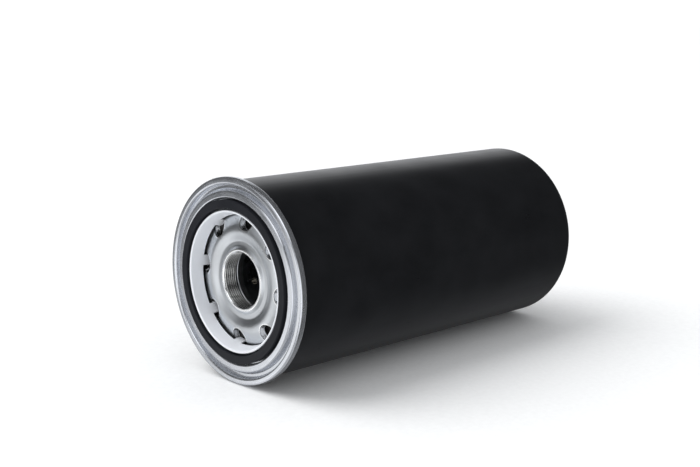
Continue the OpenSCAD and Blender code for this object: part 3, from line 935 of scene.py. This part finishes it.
def make_wires():
    """The two springs and the strand wound round the pleats."""
    wire_r = 1.6
    path = coil_path(ELEMENT_SPRING_R - wire_r, wire_r, SPRING_BACK, SPRING_FRONT, 3)
    sweep("element_coil", path, wire_r * MM, 14, "spring_wire", replaced="element_spring")

    wire_r = 0.7
    path = coil_path(BYPASS_SPRING_R - wire_r, wire_r, BYPASS_BACK, BYPASS_FRONT, 6)
    coil = sweep("bypass_coil", path, wire_r * MM, 12, "spring_wire", replaced="bypass_spring")
    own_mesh(coil)

    strand_r, turns, per_turn = 0.6, 5, 64
    wound_r = ROVING_R - strand_r
    rise = (ROVING_TOP - ROVING_END - 2 * strand_r) / (turns * per_turn)
    path = [
        place(wound_r, TAU * i / per_turn, ROVING_END + strand_r + rise * i)
        for i in range(turns * per_turn + 1)
    ]
    sweep("wound_strand", path, strand_r * MM, 10, "roving_thread", replaced="media_roving")


def make_tube():
    """The centre tube: cells of a punched sheet, each with a round hole, rolled into a cylinder."""
    hole_r, columns, rows, margin = 2.4, 8, 14, 5.0
    along, up, rays = 8, 8, 32
    cell = TAU / columns
    step = (TUBE_TOP - TUBE_END - 2 * margin) / rows
    width = cell * TUBE_R
    edge = [(-width / 2 + width * i / along, -step / 2) for i in range(along)]
    edge += [(width / 2, -step / 2 + step * i / up) for i in range(up)]
    edge += [(-x, -y) for x, y in edge]
    hole = [(hole_r * math.cos(t), hole_r * math.sin(t)) for t in (math.atan2(y, x) for x, y in edge)]
    shares = (0, 0.12, 0.5, 1)
    vertices, faces = [], []

    def skin(r, x, h):
        return place(r, x / TUBE_R, h)

    in_r = TUBE_R - TUBE_T
    for row in range(rows):
        middle_h = TUBE_END + margin + (row + 0.5) * step
        for column in range(columns):
            middle_x = (column + (row % 2) / 2) * width
            first = len(vertices)
            loops = [(TUBE_R, s) for s in shares[::-1]] + [(in_r, s) for s in shares]
            for r, share in loops:
                for (hx, hy), (ex, ey) in zip(hole, edge):
                    x, h = hx + (ex - hx) * share, hy + (ey - hy) * share
                    vertices.append(skin(r, middle_x + x, middle_h + h))
            for i in range(len(loops) - 1):
                for j in range(rays):
                    k = (j + 1) % rays
                    a, b = first + i * rays, first + (i + 1) * rays
                    faces.append([a + j, a + k, b + k, b + j])
    steps = columns * along
    for low, high, offset in (
        (TUBE_END, TUBE_END + margin, 0),
        (TUBE_TOP, TUBE_TOP - margin, (rows - 1) % 2),
    ):
        first = len(vertices)
        for r, h in ((TUBE_R, high), (TUBE_R, low), (in_r, low), (in_r, high)):
            vertices.extend(skin(r, (i / along + offset / 2) * width, h) for i in range(steps))
        for i in range(3):
            for j in range(steps):
                k = (j + 1) % steps
                a, b = first + i * steps, first + (i + 1) * steps
                faces.append([a + j, a + k, b + k, b + j])
    piece("perforated_tube", vertices, faces, "tube_steel", replaced="centre_tube")


# ------------------------------------------------------------------------ the scene

def make_camera():
    """A normal lens at the thread's end, to its right and a little above it."""
    azimuth, elevation = math.radians(46.74), math.radians(10.75)
    distance, aim = 0.8024, Vector((0, 0.0960, 0.0183))
    data = bpy.data.cameras.new("camera")
    data.lens = 58.85
    data.sensor_width = 36
    data.clip_start = 0.01
    camera = bpy.data.objects.new("camera", data)
    back = Vector((
        math.sin(azimuth) * math.cos(elevation),
        -math.cos(azimuth) * math.cos(elevation),
        math.sin(elevation),
    ))
    camera.location = aim + back * distance
    camera.rotation_mode = "QUATERNION"
    camera.rotation_quaternion = (-back).to_track_quat("-Z", "Y")
    bpy.context.scene.collection.objects.link(camera)
    bpy.context.scene.camera = camera


# Soft lights round the filter, as (turn from -Y towards -X, height) in degrees, the angles
# from a light's middle at which it starts to fade and has faded, and its strength.
GLOWS = [
    ((14, 12), 16, 34, 0.5),
    ((-42, -12), 16, 40, 1.2),
    ((66, -36), 14, 32, 0.6),
    ((0, -60), 22, 45, 0.4),
    ((-18, 50), 10, 28, 1.5),
    ((133, 12), 8, 27, 0.9),
    ((180, -45), 8, 30, 0.12),
]
BETWEEN_GLOWS = 0.05


def make_world():
    """Soft lights for reflections, an even light for the floor, and a white backdrop."""
    world = bpy.data.worlds.new("studio")
    bpy.context.scene.world = world
    world.use_nodes = True
    tree = world.node_tree
    tree.nodes.clear()
    path = tree.nodes.new("ShaderNodeLightPath")
    output = tree.nodes.new("ShaderNodeOutputWorld")
    towards = tree.nodes.new("ShaderNodeTexCoord").outputs["Generated"]

    def sky(colour, strength):
        node = tree.nodes.new("ShaderNodeBackground")
        node.inputs["Color"].default_value = (*colour, 1)
        if isinstance(strength, bpy.types.NodeSocket):
            tree.links.new(strength, node.inputs["Strength"])
        else:
            node.inputs["Strength"].default_value = strength
        return node.outputs[0]

    def chosen(ray, yes, no):
        node = tree.nodes.new("ShaderNodeMixShader")
        for socket, value in zip(node.inputs, (path.outputs[ray], no, yes)):
            tree.links.new(value, socket)
        return node.outputs[0]

    def glow(where, full, faded, strength):
        turn, height = (math.radians(a) for a in where)
        middle = (-math.sin(turn) * math.cos(height), -math.cos(turn) * math.cos(height), math.sin(height))
        nearness = tree.nodes.new("ShaderNodeVectorMath")
        nearness.operation = "DOT_PRODUCT"
        tree.links.new(towards, nearness.inputs[0])
        nearness.inputs[1].default_value = middle
        fade = tree.nodes.new("ShaderNodeMapRange")
        fade.interpolation_type = "SMOOTHSTEP"
        tree.links.new(nearness.outputs["Value"], fade.inputs["Value"])
        fade.inputs["From Min"].default_value = math.cos(math.radians(faded))
        fade.inputs["From Max"].default_value = math.cos(math.radians(full))
        fade.inputs["To Max"].default_value = strength
        return fade.outputs["Result"]

    total = None
    for light in GLOWS:
        add = tree.nodes.new("ShaderNodeMath")
        tree.links.new(glow(*light), add.inputs[0])
        if total is None:
            add.inputs[1].default_value = BETWEEN_GLOWS
        else:
            tree.links.new(total, add.inputs[1])
        total = add.outputs[0]

    room = chosen("Is Glossy Ray", sky((0.96, 0.975, 1.0), total), sky((0.98, 0.99, 1.0), 0.8))
    tree.links.new(chosen("Is Camera Ray", sky((1, 1, 1), 1.1), room), output.inputs["Surface"])


def make_stage():
    """A pale floor that touches the rim and the can's far shoulder, and soft studio light."""
    rim_r, can_r = RIM_R * MM, CAN_R * MM
    slope = (rim_r - can_r) / (-CAN_END * MM)
    mesh = bpy.data.meshes.new("floor")
    size, middle, clearance = 12.0, 0.1, 0.0003
    corners = [(-size, middle - size), (size, middle - size), (size, middle + size), (-size, middle + size)]
    mesh.from_pydata([(x, y, -rim_r - clearance + slope * y) for x, y in corners], [], [[0, 1, 2, 3]])
    floor = bpy.data.objects.new("floor", mesh)
    bpy.context.scene.collection.objects.link(floor)
    floor.visible_glossy = False
    floor.visible_shadow = False
    n = Nodes("floor_paper")
    grain = n.noise(n.position(), 300.0, detail=3.0)
    n.set(
        Base_Color=n.mix(n.ramp(grain, 0.3, 0.7, 0.0, 1.0), (0.86, 0.865, 0.87), (0.90, 0.905, 0.91)),
        Roughness=0.85,
        Normal=n.bump(grain, 0.2, 1e-4),
    )
    floor.data.materials.append(n.material)
    bpy.context.scene.view_settings.view_transform = "Standard"

    key = bpy.data.lights.new("key", "SUN")
    key.energy = 2.0
    key.angle = math.radians(50)
    lamp = bpy.data.objects.new("key", key)
    lamp.rotation_mode = "QUATERNION"
    lamp.rotation_quaternion = Vector((0.5, 0.42, -0.757)).to_track_quat("-Z", "Y")
    lamp.visible_glossy = False
    bpy.context.scene.collection.objects.link(lamp)

    near = bpy.data.lights.new("front_left", "AREA")
    near.shape = "RECTANGLE"
    near.size, near.size_y = 0.56, 0.28
    near.energy = 0.38
    box = bpy.data.objects.new("front_left", near)
    box.location = (-0.16, -0.425, -0.14)
    box.rotation_mode = "QUATERNION"
    box.rotation_quaternion = Vector((0.375, 0.927, 0)).to_track_quat("-Z", "Z")
    box.visible_camera = False
    bpy.context.scene.collection.objects.link(box)


make_camera()
make_world()
make_can()
make_lid()
make_gasket()
make_plate()
make_seals()
make_caps()
make_paper()
make_wires()
make_tube()
slots = {part["node"]: part["material_slot"] for part in RECORD["subparts"]}
for name, node in frame["nodes"].items():
    node.data.materials.clear()
    node.data.materials.append(MATERIALS[slots[name]])
make_stage()
